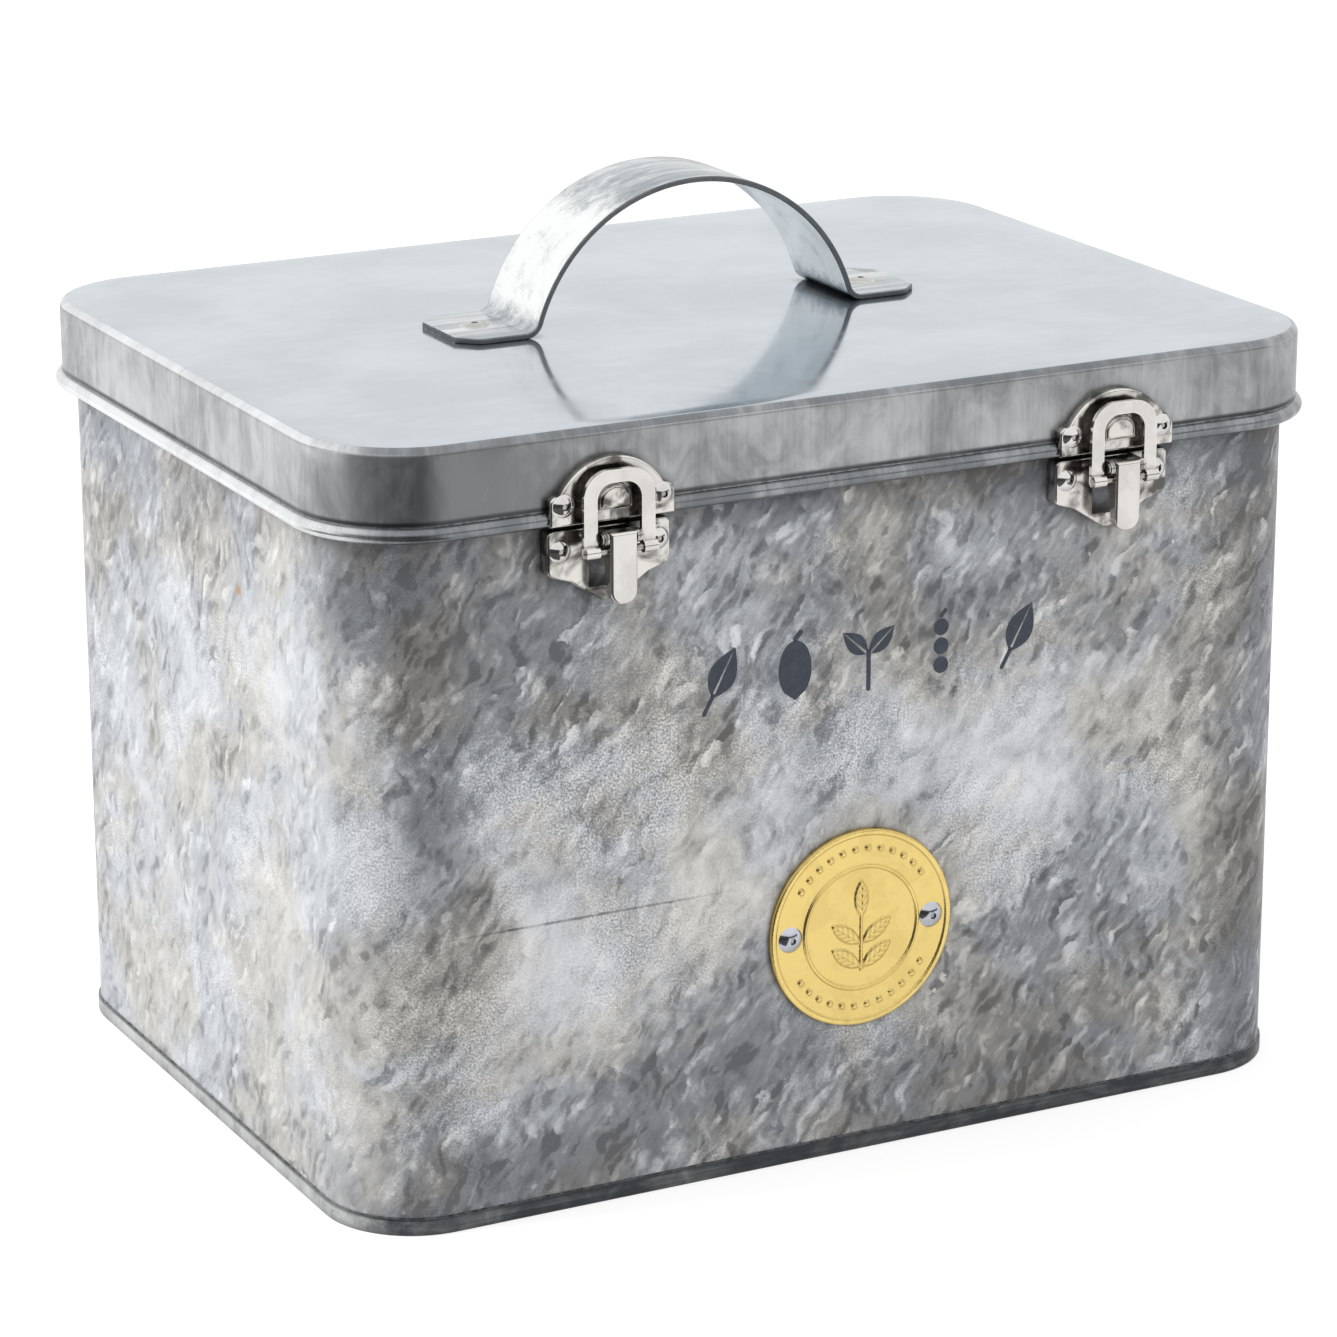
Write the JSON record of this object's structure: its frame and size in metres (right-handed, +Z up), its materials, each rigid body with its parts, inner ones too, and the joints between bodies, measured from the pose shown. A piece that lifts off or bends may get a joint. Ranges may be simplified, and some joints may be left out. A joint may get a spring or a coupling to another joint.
{
  "type": "seed organizer box",
  "caption": "Upright sheet-metal storage box with a hinged lift-up lid, a strap handle on top, toggle latches at the front and tabbed cards inside.",
  "frame": {"origin": "on the surface that the box stands on, under the middle of the box", "axes": "+X along the front from left to right, -Y out of the front with the latches, +Z up"},
  "size_m": [0.2278, 0.1802, 0.1919],
  "materials": {
    "body_sheet": "mottled galvanised",
    "base_sheet": "dull galvanised",
    "lid_sheet": "smooth brushed zinc",
    "handle_sheet": "bright tinplate",
    "handle_rivet": "flattened heads",
    "latch_plate": "bright nickel plate",
    "latch_rivet": "bright nickel plate",
    "latch_pin": "nickel plate",
    "plaque_brass": "pressed brass",
    "plaque_rivet": "bright",
    "hinge_leaf": "zinc plate",
    "hinge_pin": "zinc plate",
    "hinge_rivet": "zinc plate",
    "partition_sheet": "bare galvanised",
    "card": "uncoated manila card"
  },
  "bodies": {
    "box": {"base_pan": "base_sheet", "body_shell": "body_sheet", "hinge_body_leaf_left": "hinge_leaf", "hinge_body_leaf_right": "hinge_leaf", "hinge_body_rivets_left": "hinge_rivet", "hinge_body_rivets_right": "hinge_rivet", "hinge_pin_left": "hinge_pin", "hinge_pin_right": "hinge_pin", "index_card_01": "card", "index_card_02": "card", "index_card_03": "card", "index_card_04": "card", "index_card_05": "card", "index_card_06": "card", "index_card_07": "card", "index_card_08": "card", "index_card_09": "card", "index_card_10": "card", "index_card_11": "card", "index_card_12": "card", "latch_base_left": "latch_plate", "latch_base_right": "latch_plate", "latch_base_rivets_left": "latch_rivet", "latch_base_rivets_right": "latch_rivet", "lever_pin_left": "latch_pin", "lever_pin_right": "latch_pin", "partition": "partition_sheet", "plaque": "plaque_brass", "plaque_rivets": "plaque_rivet"},
    "lid": {"handle_rivets": "handle_rivet", "handle_strap": "handle_sheet", "hinge_lid_leaf_left": "hinge_leaf", "hinge_lid_leaf_right": "hinge_leaf", "hinge_lid_rivets_left": "hinge_rivet", "hinge_lid_rivets_right": "hinge_rivet", "lid_shell": "lid_sheet", "strike_plate_left": "latch_plate", "strike_plate_right": "latch_plate", "strike_rivets_left": "latch_rivet", "strike_rivets_right": "latch_rivet"},
    "left_lever": {"latch_lever_left": "latch_plate"},
    "left_loop": {"latch_loop_left": "latch_plate", "link_pin_left": "latch_pin"},
    "right_lever": {"latch_lever_right": "latch_plate"},
    "right_loop": {"latch_loop_right": "latch_plate", "link_pin_right": "latch_pin"}
  },
  "joints": [
    {"name": "lid_hinge", "type": "hinge", "parent": "box", "child": "lid", "pos_m": [0, 0.0874, 0.1447], "axis": [-1, 0, 0], "range_deg": [0, 105]},
    {"name": "left_lever_hinge", "type": "hinge", "parent": "box", "child": "left_lever", "pos_m": [-0.057, -0.089, 0.141], "axis": [-1, 0, 0], "range_deg": [0, 90]},
    {"name": "left_loop_hinge", "type": "hinge", "parent": "left_lever", "child": "left_loop", "pos_m": [-0.057, -0.0888, 0.1385], "axis": [1, 0, 0], "range_deg": [0, 180]},
    {"name": "right_lever_hinge", "type": "hinge", "parent": "box", "child": "right_lever", "pos_m": [0.057, -0.089, 0.141], "axis": [-1, 0, 0], "range_deg": [0, 90]},
    {"name": "right_loop_hinge", "type": "hinge", "parent": "right_lever", "child": "right_loop", "pos_m": [0.057, -0.0888, 0.1385], "axis": [1, 0, 0], "range_deg": [0, 180]}
  ],
  "couplings": [
    {"joint": "left_loop_hinge", "follows": "left_lever_hinge", "ratio": 2},
    {"joint": "right_loop_hinge", "follows": "right_lever_hinge", "ratio": 2}
  ]
}
